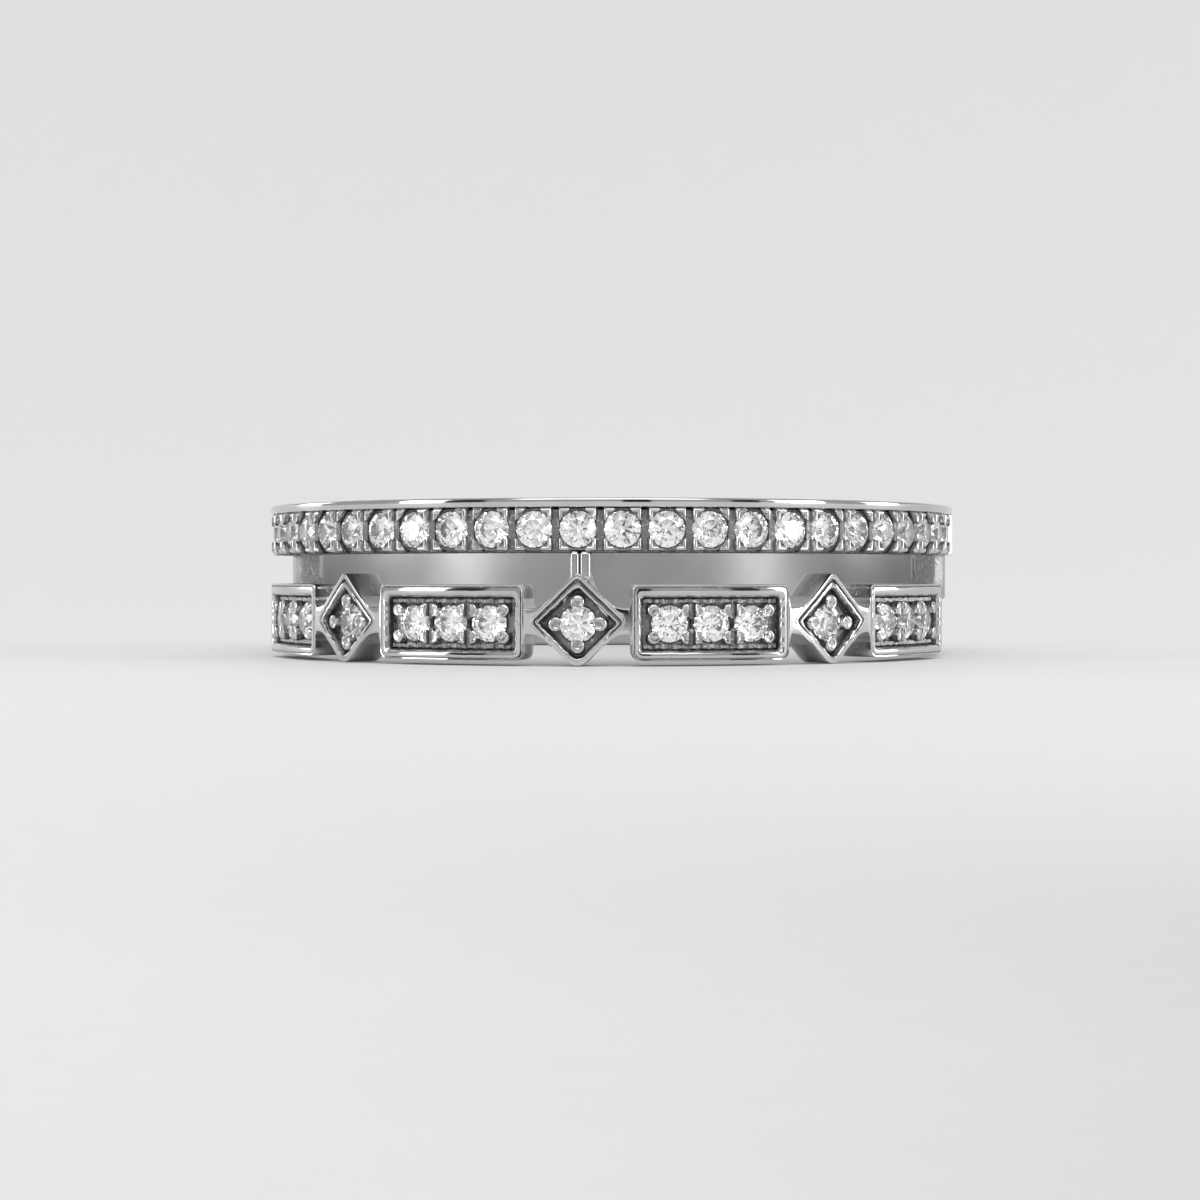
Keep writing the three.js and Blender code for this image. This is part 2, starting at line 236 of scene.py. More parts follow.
def rounded_section(half_r: Array, half_z: Array, corner: Array) -> tuple[Array, Array]:
    """A rectangle with round corners, once for each place along a sweep.

    Each corner is a quarter circle about a point one radius in from both sides, and the flats between
    the quarters are divided evenly.

    Args:
        half_r: half of the radial size at each place.
        half_z: half of the height at each place.
        corner: the corners' radius at each place.

    Returns:
        Radial and vertical offsets from the middle, places by points.
    """
    corner = np.minimum(corner, 0.98 * np.minimum(half_r, half_z))[:, None]
    quarter = np.linspace(0, math.pi / 2, 6)[None, :]
    signs = [(1, -1), (1, 1), (-1, 1), (-1, -1)]
    arcs = []
    for k, (side_r, side_z) in enumerate(signs):
        theta = quarter + (k - 1) * math.pi / 2
        arc_r = side_r * (half_r[:, None] - corner) + corner * np.cos(theta)
        arc_z = side_z * (half_z[:, None] - corner) + corner * np.sin(theta)
        arcs.append((arc_r, arc_z))
    shares = np.linspace(0, 1, 12)[1:-1][None, :]
    columns_r, columns_z = [], []
    for k, (arc_r, arc_z) in enumerate(arcs):
        next_r, next_z = arcs[(k + 1) % 4]
        columns_r += [arc_r, arc_r[:, -1:] * (1 - shares) + next_r[:, :1] * shares]
        columns_z += [arc_z, arc_z[:, -1:] * (1 - shares) + next_z[:, :1] * shares]
    return np.concatenate(columns_r, axis=1), np.concatenate(columns_z, axis=1)


@dataclass
class Sweep:
    """A rounded bar carried round the ring, with eased and closed ends.

    At each angle the section spans from one radius to another and from one height to another. The
    dome takes the outside in by a share of the square of the distance from the middle height.
    """

    start: float
    end: float
    steps: int
    inside: float = SIZES.bore
    outside: float = SIZES.face
    corner: float = 0.08
    edge: float = 0.05
    bottom: float = 0.0
    top: float = SIZES.height
    # deep is the painted shade on the outside; bore_finish goes on the bore side instead.
    deep: float = 0.0
    bore_finish: float = 0.0
    bore_side: float = -0.3

    def lower(self, angle: Array) -> Array:
        """The height of the lower side at each angle."""
        return np.full_like(angle, self.bottom)

    def upper(self, angle: Array) -> Array:
        """The height of the upper side at each angle."""
        return np.full_like(angle, self.top)

    def inner(self, angle: Array) -> Array:
        """The inside's radius at each angle."""
        return np.full_like(angle, self.inside)

    def outer(self, angle: Array) -> Array:
        """The outside's radius at each angle."""
        return np.full_like(angle, self.outside)

    def dome(self, angle: Array) -> Array:
        """How far the outside falls back at its edges."""
        return np.zeros_like(angle)

    def rounding(self, angle: Array) -> Array:
        """The corner radius at each angle."""
        return np.full_like(angle, self.corner)

    def recess(self, angle: Array, out: Array) -> Array:
        """How much painted shade each point gets, by its angle and its distance out from the section's
        middle.
        """
        return np.where(out < self.bore_side, self.bore_finish, self.deep)

    def surface(self) -> Surface:
        """Carries the section from start to end.

        The ends are quarter rounds: the section shrinks by edge times one minus the cosine while the
        angle moves on by edge times the sine, and then closes to a point.

        Returns:
            One closed surface.
        """
        ease = np.linspace(math.pi / 2, 0, 5)
        turn = SIZES.turn(self.edge)
        between = np.linspace(self.start + turn, self.end - turn, self.steps)
        head = self.start + turn - turn * np.sin(ease)
        tail = self.end - turn + turn * np.sin(ease[::-1])
        close = np.array([0.0, 0.35, 0.7])
        first, last = np.full_like(close, self.start), np.full_like(close, self.end)
        angle = np.concatenate([first, head[:-1], between, tail[1:], last])
        inset = self.edge * (1 - np.cos(ease))
        at_end = np.full_like(close, self.edge)
        insets = np.concatenate([at_end, inset[:-1], np.zeros(self.steps), inset[::-1][1:], at_end])
        shrink = np.concatenate([close, np.ones(len(angle) - 2 * len(close)), close[::-1]])
        low, high = self.lower(angle), self.upper(angle)
        half_z = ((high - low) / 2 - insets) * shrink
        inner, outer = self.inner(angle), self.outer(angle)
        half_r = ((outer - inner) / 2 - insets) * shrink
        out, up = rounded_section(half_r, half_z, self.rounding(angle) * shrink)
        across = up / ((high - low) / 2)[:, None]
        outwards = np.clip(out / ((outer - inner) / 2)[:, None], 0, 1)
        radius = ((outer + inner) / 2)[:, None] + out - self.dome(angle)[:, None] * across**2 * outwards
        z = ((low + high) / 2)[:, None] + up
        return Surface.grid(on_ring(angle[:, None], radius, z), self.recess(angle[:, None], out))


def smoothstep(value: Array, low: float, high: float) -> Array:
    """Rises smoothly from zero at low to one at high."""
    t = np.clip((value - low) / (high - low), 0, 1)
    return t * t * (3 - 2 * t)


@dataclass
class Shank(Sweep):
    """The plain domed back of the ring, whose lower edge steps up at the shoulders."""

    start: float = SIZES.window
    end: float = 2 * math.pi - SIZES.window
    steps: int = 220
    step_height: float = 1.65
    shoulder_start: float = math.radians(100)
    shoulder_end: float = math.radians(130)
    full_dome: float = 0.30
    edge: float = 0.015
    end_round: float = math.radians(4)
    end_depth: float = 0.5
    # painted shade where the window between the rows ends
    painted_end_shade: float = 0.45
    end_lift: float = 0.28
    lift_over: float = math.radians(2.5)
    tuck: float = 0.02
    tuck_over: float = math.radians(3)
    rim_corner: float = 0.06
    back_corner: float = 0.12
    end_corner: float = 0.3

    def away(self, angle: Array) -> Array:
        """How far round each angle is from the front, either way."""
        return math.pi - np.abs(angle - math.pi)

    def near_end(self, angle: Array, over: float) -> Array:
        """One where the window between the rows ends, falling to zero over the given angle."""
        return 1 - smoothstep(self.away(angle), self.start, self.start + over)

    def tucked(self, angle: Array) -> Array:
        """How far the ends lie below the skin of the rail and the arms."""
        return self.tuck * self.near_end(angle, self.tuck_over)

    def fullness(self, angle: Array) -> Array:
        """Zero at the shoulders and one at the back."""
        return smoothstep(self.away(angle), self.shoulder_start, self.shoulder_end)

    def lower(self, angle: Array) -> Array:
        """The lower edge: the step, falling in a smooth curve to the surface the ring lies on."""
        lift = self.end_lift * self.near_end(angle, self.lift_over)
        return self.step_height * (1 - self.fullness(angle)) + lift

    def upper(self, angle: Array) -> Array:
        """The upper side, level with the rail's."""
        return SIZES.height - self.tucked(angle)

    def inner(self, angle: Array) -> Array:
        """The inside, level with the rail's."""
        return self.inside + self.tucked(angle)

    def outer(self, angle: Array) -> Array:
        """The outside, rounded off in a quarter ellipse where the window between the rows ends."""
        t = np.clip(1 - (self.away(angle) - self.start) / self.end_round, 0, 1)
        return self.outside - self.end_depth * (1 - np.sqrt(1 - t * t))

    def dome(self, angle: Array) -> Array:
        """The dome, flat where it meets the rows."""
        return self.full_dome * self.fullness(angle)

    def rounding(self, angle: Array) -> Array:
        """The edges, soft at the window's end, crisp where they meet the rim and softer at the back."""
        at_end = self.end_corner * self.near_end(angle, self.end_round)
        return self.rim_corner + self.back_corner * self.fullness(angle) + at_end

    def recess(self, angle: Array, out: Array) -> Array:
        """Painted shade where the window between the rows ends, and a satin tone on the bore."""
        return np.where(out < self.bore_side, SATIN, self.painted_end_shade * self.near_end(angle, self.end_round))


@dataclass
class Arm(Sweep):
    """The plain recessed arm that leads from the last bar into the shank."""

    steps: int = 60
    inside: float = SIZES.bore + 0.012
    outside: float = SIZES.face - 0.30
    bottom: float = 0.30
    top: float = 1.95
    bore_finish: float = SATIN
    corner: float = 0.14
    sink: float = 0.03
    sink_over: float = math.radians(20)

    def inner(self, angle: Array) -> Array:
        """The inside, which sinks below the shank's skin towards the back."""
        start, end = SIZES.window, SIZES.window + self.sink_over
        return self.inside + self.sink * smoothstep(np.abs(angle), start, end)


@dataclass
class Ledge(Sweep):
    """A rough ledge along a pocket's upper or lower side, uneven as a hand tool leaves it."""

    steps: int = 150
    outside: float = SIZES.pocket_floor + 0.05
    inside: float = SIZES.pocket_floor - 0.2
    corner: float = 0.03
    edge: float = 0.02
    unevenness: float = 0.012
    # painted shade over the whole ledge
    deep: float = 0.5

    def lower(self, angle: Array) -> Array:
        """The lower side, waving a little."""
        return self.bottom + self.unevenness * np.sin(210 * angle + 1.3)

    def upper(self, angle: Array) -> Array:
        """The upper side, waving a little."""
        return self.top + self.unevenness * np.sin(180 * angle)

    def outer(self, angle: Array) -> Array:
        """The outside, the sum of three waves with no common length."""
        waves = np.sin(150 * angle) + np.sin(245 * angle + 2.0) + np.sin(390 * angle + 4.0)
        return self.outside + 1.5 * self.unevenness * waves

    @classmethod
    def across(cls, middle: float, width: float, **sizes: float) -> Surface:
        """A ledge at an angle round the ring and of a width, with its other sizes by name."""
        half = SIZES.turn(width / 2)
        return cls(middle - half, middle + half, **sizes).surface()


@dataclass
class Post(Sweep):
    """A rib of the post between the rows, from inside the middle diamond's top to inside the rail."""

    steps: int = 12
    outside: float = SIZES.face - 0.16
    bottom: float = 2.2
    top: float = SIZES.rail_bottom + 0.06
    corner: float = 0.09
    edge: float = 0.07


@dataclass
class Web(Sweep):
    """A thin web at the foot of the post, falling in a concave curve along the diamond's upper side."""

    steps: int = 24
    outside: float = SIZES.face - 0.22
    crest: float = SIZES.stone_line + 1.38
    slope: float = 1.015
    proud: float = 0.015
    depth: float = 0.45
    rise: float = 0.5
    corner: float = 0.05
    edge: float = 0.02

    def lower(self, angle: Array) -> Array:
        """The lower side, inside the diamond."""
        return self.upper(angle) - self.depth

    def upper(self, angle: Array) -> Array:
        """The upper side: the diamond's slope, and above it a fourth power.

        Args:
            angle: angles round the ring.

        Returns:
            The height at each angle, where the fourth power has fallen to nothing at the outer end.
        """
        along = np.abs(angle) * SIZES.face
        near, far = sorted((abs(self.start) * SIZES.face, abs(self.end) * SIZES.face))
        curve = self.rise * np.clip((far - along) / (far - near), 0, 1) ** 4
        return self.crest - self.slope * along + self.proud + curve


@dataclass
class RailCore:
    """The rail's solid part: the inner wall, the channel that holds the seats, and the plain rim."""

    end: float = SIZES.window + math.radians(9)
    steps: int = 270
    seats_end: float = 0.0
    channel: float = SIZES.face - SIZES.seat_depth - 0.62
    rim_round: float = 0.06
    foot_chamfer: float = 0.10
    fills_over: float = 0.06
    sink: float = 0.02
    inner_sinks: tuple[float, float] = (math.radians(6), math.radians(3))
    outer_sinks: tuple[float, float] = (math.radians(4), math.radians(1))

    def profile(self) -> tuple[Array, int]:
        """The rail's section, up the outside from the lower inner edge and down the bore.

        Returns:
            Radii and heights as points by two, and how many of them come before the rim.
        """
        face, bore, r = SIZES.face, SIZES.bore, self.rim_round
        low, rim, top = SIZES.rail_bottom, SIZES.rim_bottom, SIZES.height
        turn = np.linspace(0, math.pi / 2, 6)
        below = [(bore + self.foot_chamfer, low + 0.01), (self.channel - 0.06, low + 0.01)]
        below += [(self.channel, z) for z in (low + 0.05, *np.linspace(low + 0.1, rim - 0.02, 6))]
        lip = [(self.channel + 0.02, rim), (face - 0.05, rim + 0.005), (face - 0.015, rim + 0.02)]
        over = [(face, rim + 0.05)] + [(face - r + r * math.cos(t), top - r + r * math.sin(t)) for t in turn]
        inside = [(bore + r - r * math.sin(t), top - r + r * math.cos(t)) for t in turn]
        inside += [(bore, z) for z in np.linspace(top - 0.4, low + 0.4, 4)]
        inside += [(bore, low + 0.12), (bore + 0.03, low + 0.04)]
        return np.array(below + lip + over + inside), len(below + lip)

    def sunk(self, angle: Array, stretch: tuple[float, float]) -> Array:
        """How far a side lies below the shank's skin, growing over a stretch before the end."""
        return self.sink * smoothstep(np.abs(angle), self.end - stretch[0], self.end - stretch[1])[:, None]

    def surface(self) -> Surface:
        """Carries the rail's profile round the front.

        Beyond the last seat the channel fills up to the face, and where the rail meets the shank it
        sinks a little below the shank's skin.

        Returns:
            One closed surface.
        """
        profile, before_rim = self.profile()
        section_r, section_z = profile.T
        outer_half = section_r > SIZES.bore + 0.2
        fills = (np.arange(len(profile)) < before_rim) & outer_half
        shadowed = (np.arange(len(profile)) < before_rim - 2) & outer_half
        angle = np.linspace(-self.end, self.end, self.steps)
        filled_at = self.seats_end + SIZES.turn(self.fills_over)
        plain = smoothstep(np.abs(angle), self.seats_end, filled_at)[:, None]
        inner_sink, outer_sink = self.sunk(angle, self.inner_sinks), self.sunk(angle, self.outer_sinks)
        radius = section_r + plain * np.where(fills, SIZES.face - section_r, 0.0)
        radius = radius + np.where(outer_half, -outer_sink, inner_sink)
        middle_r, middle_z = (SIZES.bore + SIZES.face) / 2, (SIZES.rail_bottom + SIZES.height) / 2
        z = section_z + np.where(section_z > middle_z, -1.0, 1.0) * inner_sink
        # painted shade on the channel's sides, gone where the channel fills; the bore is satin
        recess = np.where(shadowed, 1.0, 0.0) * (1 - plain)
        recess = np.where(section_r < SIZES.bore + 0.04, SATIN, recess)

        def capped(rows: Array, value: float) -> Array:
            """The rows with one of a single value before and after them, which closes the ends."""
            return np.pad(rows, ((1, 1), (0, 0)), constant_values=value)

        angle = np.pad(angle, 1, mode="edge")[:, None]
        points = on_ring(angle, capped(radius, middle_r), capped(z, middle_z))
        return Surface.grid(points, capped(recess, 0.0))


def outline(
    corners: Outline,
    radius: float | Array,
    per_corner: int = 8,
    per_side: int = 22,
) -> Array:
    """A polygon with rounded corners, as evenly divided points.

    Each corner is a parabola that starts and ends one radius along its two sides.

    Args:
        corners: the sharp corners in order, along the ring and up.
        radius: the length that each rounding takes of its sides, one for all corners or one for each.
        per_corner: points on a corner.
        per_side: points on a side.

    Returns:
        An array of points by two.
    """
    sharp = np.array(corners, dtype=float)
    before, after = np.roll(sharp, 1, axis=0), np.roll(sharp, -1, axis=0)
    radius = np.broadcast_to(radius, len(sharp))[:, None]
    start = sharp + radius * (before - sharp) / np.linalg.norm(before - sharp, axis=1, keepdims=True)
    end = sharp + radius * (after - sharp) / np.linalg.norm(after - sharp, axis=1, keepdims=True)
    t = np.linspace(0, 1, per_corner)[None, :, None]
    bends = (1 - t) ** 2 * start[:, None] + 2 * t * (1 - t) * sharp[:, None] + t**2 * end[:, None]
    s = np.linspace(0, 1, per_side + 2)[1:-1][None, :, None]
    sides = (1 - s) * end[:, None] + s * np.roll(start, -1, axis=0)[:, None]
    return np.concatenate([bends, sides], axis=1).reshape(-1, 2)


def circle_like(shape: Array, radius: float) -> Array:
    """A circle with one point in the direction of each point of an outline."""
    return radius * shape / np.linalg.norm(shape, axis=1, keepdims=True)


def nested(
    outer: Array,
    inner: Array,
    rings: Array,
    angle: float,
    line: float,
    fade: Array | float = 0.0,
) -> Surface:
    """Rings nested between two outlines and bent round the finger axis.

    Each ring blends from the outer to the inner outline by its first number, shrinks towards the
    middle by its second, lies at the radius of its third and gets as much painted shade as its fourth.
    Where its fifth is above zero, it rises by that much and loses its painted shade as the fade goes to one.

    Args:
        outer: the outer outline.
        inner: the inner outline, with as many points.
        rings: rings by five numbers.
        angle: where the outlines' middle is, round the ring.
        line: the height of that middle.
        fade: how far the rings that can fade have faded, at each point of the outlines.

    Returns:
        A closed surface, where the first and last rings shrink to a point.
    """
    share, scale, radius, recess, lift = (rings[:, k][:, None] for k in range(5))
    flat = (1 - share[..., None]) * outer[None] + share[..., None] * inner[None]
    flat = flat * scale[..., None]
    points = on_ring(angle + SIZES.turn(flat[..., 0]), radius + lift * fade, line + flat[..., 1])
    kept = recess * (1 - np.where(lift > 0, fade, 0.0))
    return Surface.grid(points, np.broadcast_to(kept, points.shape[:2]).copy())


def hand_filed(shape: Array, amount: float, phase: float) -> Array:
    """Makes an outline uneven, as filing by hand leaves it.

    Each point moves from the middle by the sum of three waves, of about 0.6, 0.35 and 0.2 mm.

    Args:
        shape: the outline.
        amount: the height of each wave.
        phase: where the waves start.

    Returns:
        The outline, with as many points.
    """
    steps = np.linalg.norm(np.roll(shape, -1, axis=0) - shape, axis=1)
    along = np.cumsum(steps) / steps.sum() * math.tau
    counts = [round(steps.sum() / length) for length in (0.6, 0.35, 0.2)]
    waves = sum(np.sin(count * along + k * phase) for k, count in enumerate(counts, 1))
    return shape * (1 + amount * waves / np.linalg.norm(shape, axis=1))[:, None]


@dataclass
class Neck:
    """A short neck between a diamond's corner and a bar, flush with both and hollowed above and below.

    Lengths along are from the diamond's corner towards the bar.
    """

    corner: float
    bar_side: int
    gap: float
    waist: float = 0.32
    blend: float = 0.17
    flare: float = 0.30
    tail: float = 0.62
    tuck: float = 0.10
    into_bar: float = 0.035
    edge_round: float = 0.05
    front_scale: float = 0.93
    inside: float = SIZES.bore + 0.012
    outside: float = SIZES.face - 0.012
    middle: float = SIZES.stone_line + 0.06

    def plan(self) -> Array:
        """The outline seen from outside.

        The two hollow sides are the smooth greater of the waist and the diamond's slope of one, plus a
        fourth power that flares into the bar. The end in the bar is straight, and the other end is a
        notch that follows the diamond's corner inside its rim.

        Returns:
            An array of points by two.
        """
        along = np.linspace(-self.tail, self.gap + self.into_bar, 40)
        past = -along - self.waist
        half = self.waist + (np.sqrt(past**2 + self.blend**2) + past) / 2
        half = half + self.flare * np.clip(along / self.gap, 0, 1) ** 4
        up = np.linspace(-(self.tail - self.tuck), self.tail - self.tuck, 31)
        notch = np.stack([-np.abs(up) - self.tuck, up], axis=1)
        above = np.stack([along, half], axis=1)
        return np.concatenate([above, (above * (1, -1))[::-1], notch])

    def surface(self) -> Surface:
        """Carries the plan from the bore to the face, with rounded edges.

        Returns:
            One closed surface.
        """
        plan = self.plan() * (self.bar_side, 1)
        back = [(0, s, self.inside, SATIN) for s in (0, 0.5, 1)]
        edge_start = self.outside - self.edge_round
        # the sides get a little painted shade
        wall = [(0, 1, r, 0.2) for r in np.linspace(self.inside + 0.1, edge_start - 0.02, 3)]
        turn = np.linspace(0, math.pi / 2, 5)
        edge = [(1 - math.cos(t), 1, edge_start + self.edge_round * math.sin(t), 0) for t in turn]
        top = [(1, s, self.outside, 0) for s in (0.66, 0.33, 0)]
        rings = np.array([(*ring, 0.0) for ring in back + wall + edge + top], dtype=float)
        return nested(plan, plan * self.front_scale, rings, self.corner, self.middle)


def frame_rings(front: Front, shoulder: float, valley: float = 0.0) -> Array:
    """The rings of a frame: flat back, outer wall, rounded shoulder, worked front, pocket wall and floor.

    The shoulder is a quarter ellipse, one shoulder deep and a fourteenth of the front wide. The
    outer wall, the worked front's valleys and grooves and the pocket get painted shade.

    Args:
        front: the front's rings as shares of the way to the pocket, depths below the face and painted shade.
        shoulder: how deep the shoulder's round is.
        valley: the share at which the worked front's valley ends, which can fade.

    Returns:
        Rings by five numbers, as nested reads them.
    """
    face, bore = SIZES.face, SIZES.bore
    deep = SIZES.pocket_floor - 0.6
    turn = np.linspace(0, math.pi / 2, 6)
    back = [(0, s, bore, SATIN) for s in (0, 0.25, 0.5, 0.75, 0.93)]
    back += [(0, 0.985, bore + 0.01, SATIN), (0, 1, bore + 0.05, 0)]
    heights = np.linspace(bore + 0.15, face - shoulder - 0.12, 4)
    # painted shade on the outer wall, most at its middle
    wall = [(0, 1, r, shade) for r, shade in zip(heights, (0.3, 0.55, 0.55, 0.3))]
    round_over = [(0.07 * (1 - math.cos(t)), 1, face - shoulder + shoulder * math.sin(t), 0) for t in turn]
    worked = [
        (share, 1, face - depth, recess, depth if share < valley else 0.0) for share, depth, recess in front
    ]
    # painted shade down the pocket's wall and over its floor
    pocket = [(1, 1, face - 0.2, 0.75), (1, 1, deep, 0.9)] + [(1, s, deep, 1) for s in (0.66, 0.33, 0)]
    return np.array([(*ring, 0.0)[:5] for ring in back + wall + round_over + worked + pocket], dtype=float)


def seat_rings(top: float, deep: float, border: float) -> Array:
    """The rings of a seat: back, side, top, rim of the hole and the hollow that the stone sits in.

    Args:
        top: the radius of the seat's top.
        deep: the radius of its hidden back.
        border: how far the top's edge stands above the top, or below it where negative.

    Returns:
        Rings by five numbers, as nested reads them.
    """
    # painted shade: full on the hidden back and side, lighter over the top and least in the hole
    under = [(0, s, deep, 1) for s in (0, 0.5, 1)]
    side = [(0, 1, r, 1) for r in np.linspace(deep + 0.1, top + border, 3)]
    over = [(0.12, 1, top - 0.02, 0.75), (0.3, 1, top, 0.65), (0.5, 1, top - 0.01, 0.75)]
    over += [(0.8, 1, top - 0.015, 0.7), (1, 1, top - 0.03, 0.4)]
    hole = [(1, s, top - 0.06 - 0.46 * (1 - s**3), 0.12) for s in (1, 0.97, 0.85, 0.6, 0.3, 0)]
    return np.array([(*ring, 0.0) for ring in under + side + over + hole], dtype=float)


@dataclass(frozen=True)
class Place:
    """A stone's place on the ring, read from its node: an angle and a height."""

    node: str
    angle: float
    line: float

    @staticmethod
    def of(node: str) -> "Place":
        """Takes the middle of a node's points, which is on the stone's own axis.

        Args:
            node: the stone's node.

        Returns:
            The stone's place.
        """
        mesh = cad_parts[node].data
        points = np.zeros(len(mesh.vertices) * 3, np.float32)
        mesh.vertices.foreach_get("co", points)
        x, y, z = points.reshape(-1, 3).mean(axis=0) / MM
        return Place(node, math.atan2(x, -y), float(z))


def box(left: float, right: float, low: float, high: float) -> Outline:
    """The corners of a rectangle, from the lower right one upwards and round."""
    return [(right, low), (right, high), (left, high), (left, low)]


def pocket_seat(cell: Array, place: Place) -> Surface:
    """A seat in a pocket, with its hole at a stone's place."""
    rings = seat_rings(SIZES.pocket_floor, SIZES.pocket_floor - 0.65, 0.02)
    return nested(cell, circle_like(cell, SIZES.hole), rings, place.angle, place.line)


@dataclass
class RoundCut:
    """The full round cut: table, stars, kites, upper and lower girdle facets and pavilion mains."""

    radius: float = SIZES.stone / 2
    table: float = 0.55
    star: float = 0.78
    crown: float = 0.31
    girdle: float = 0.03
    pavilion: float = 0.86
    lower: float = 0.22

    def surface(self, place: Place, girdle_radius: float, spin: float) -> Surface:
        """Cuts the stone and sets it in its place.

        The corners are rings about the stone's axis: eight of the table, eight of the stars, sixteen on
        each edge of the girdle and eight where the pavilion's facets meet. The star and pavilion
        corners get the height at which the kites between them are flat.

        Args:
            place: where the stone is.
            girdle_radius: the girdle's distance from the finger axis.
            spin: how far the stone is turned about its own axis.

        Returns:
            A closed surface of triangles.
        """
        eighth, sixteenth = math.tau / 8, math.tau / 16
        mains = np.arange(8) * eighth + spin
        halves = mains + sixteenth
        girdle = np.arange(16) * sixteenth + spin
        flat = math.cos(sixteenth)
        crown_slope = self.crown / (1 - self.table)
        star_height = self.girdle + crown_slope * (1 - self.star * flat)
        lower_height = -self.girdle - self.pavilion * (1 - self.lower * flat)

        def ring(angles: Array, radius: float, height: float) -> Array:
            """A ring of corners about the stone's axis."""
            heights = np.full_like(angles, height)
            return np.stack([radius * np.cos(angles), radius * np.sin(angles), heights], axis=1)

        corners = np.concatenate([
            [[0, 0, self.girdle + self.crown]],
            ring(mains, self.table, self.girdle + self.crown),
            ring(halves, self.star, star_height),
            ring(girdle, 1.0, self.girdle),
            ring(girdle, 1.0, -self.girdle),
            ring(halves, self.lower, lower_height),
            [[0, 0, -self.girdle - self.pavilion]],
        ]) * self.radius
        i = np.arange(8)
        j = (i + 1) % 8
        top, table, star, upper, under, meet, culet = 0, 1, 9, 17, 33, 49, 57
        g, mid, g_next = 2 * i, 2 * i + 1, 2 * j
        faces = [
            (np.full(8, top), table + i, table + j),
            (table + i, star + i, table + j),
            (table + i, upper + g, star + i),
            (star + i, upper + g_next, table + j),
            (star + i, upper + g, upper + mid),
            (star + i, upper + mid, upper + g_next),
            (meet + i, under + mid, under + g),
            (meet + i, under + g_next, under + mid),
            (np.full(8, culet), meet + i, under + g),
            (np.full(8, culet), under + g_next, meet + i),
        ]
        k = np.arange(16)
        after = (k + 1) % 16
        band = [(upper + k, under + k, under + after), (upper + k, under + after, upper + after)]
        triangles = np.concatenate([np.stack(face, axis=1) for face in faces + band])
        across, up, out = corners[:, 0], corners[:, 1], corners[:, 2]
        radius = girdle_radius + out
        east = np.array([math.cos(place.angle), math.sin(place.angle), 0])
        outward = np.array([math.sin(place.angle), -math.cos(place.angle), 0])
        points = radius[:, None] * outward + across[:, None] * east
        points = points + (place.line + up)[:, None] * np.array([0, 0, 1])
        return Surface(points, triangles, np.zeros(len(points)))


def round_corners(half: float) -> Outline:
    """The corners of an octagon about a circle, at its radius over the cosine of a sixteenth turn.

    Args:
        half: the circle's radius.

    Returns:
        The eight corners, along and up.
    """
    turns = [math.tau * (k + 0.5) / 8 for k in range(8)]
    reach = half / math.cos(math.pi / 8)
    return tuple((reach * math.cos(turn), reach * math.sin(turn)) for turn in turns)


@dataclass(frozen=True)
class Claw:
    """A claw or bead beside a stone, raised from the seat, with a dimpled top that leans over the stone.

    The corners are those of its plan about its own middle, as seen above and to the right of a stone.
    """

    corners: Outline = ((0.12, -0.21), (0.12, 0.15), (-0.2, 0.15))
    softness: float = 0.045
    reach_along: float = 0.415
    reach_up: float = 0.45
    top: float = SIZES.face - 0.03
    root: float = 0.12
    lean: float = 0.055
    dimple: float = 0.045
    # the painted shade in the dimple
    shade: float = 0.7

    def surface(self, place: Place, floor: float, way: tuple[int, int]) -> Surface:
        """The claw in one direction from a stone.

        Each ring is the plan, scaled about its middle by its first number, at the radius of its second,
        with as much painted shade as its third and shifted towards the stone by its fourth as a share of
        the lean. The last rings sink into the dimple, which is painted with the claw's shade.

        Args:
            place: where the stone is.
            floor: the radius of the seat that it grows from.
            way: minus one, zero or one along the ring and up.

        Returns:
            A closed surface.
        """
        side = np.where(np.array(way) < 0, -1.0, 1.0)
        plan = outline(self.corners, self.softness, 3, 1) * side
        low, top, sunk = floor - self.root, self.top, self.top - self.dimple
        rings = np.array([
            (0, low, 0.9, 0),
            (1, low, 0.9, 0),
            (1, floor + 0.02, 0.8, 0),
            (1, top - 0.08, 0.15, 0.4),
            (0.94, top - 0.035, 0, 0.7),
            (0.84, top - 0.008, 0, 0.9),
            (0.7, top, 0, 1),
            (0.54, top - 0.012, 0.1, 1.1),
            (0.4, sunk, self.shade, 1.4),
            (0, sunk, self.shade, 1.5),
        ])
        scale, radius, recess, shift = (rings[:, k][:, None] for k in range(4))
        along = way[0] * (self.reach_along - self.lean * shift) + scale * plan[None, :, 0]
        up = way[1] * (self.reach_up - self.lean * shift) + scale * plan[None, :, 1]
        points = on_ring(place.angle + SIZES.turn(along), radius, place.line + up)
        return Surface.grid(points, np.broadcast_to(recess, along.shape).copy())


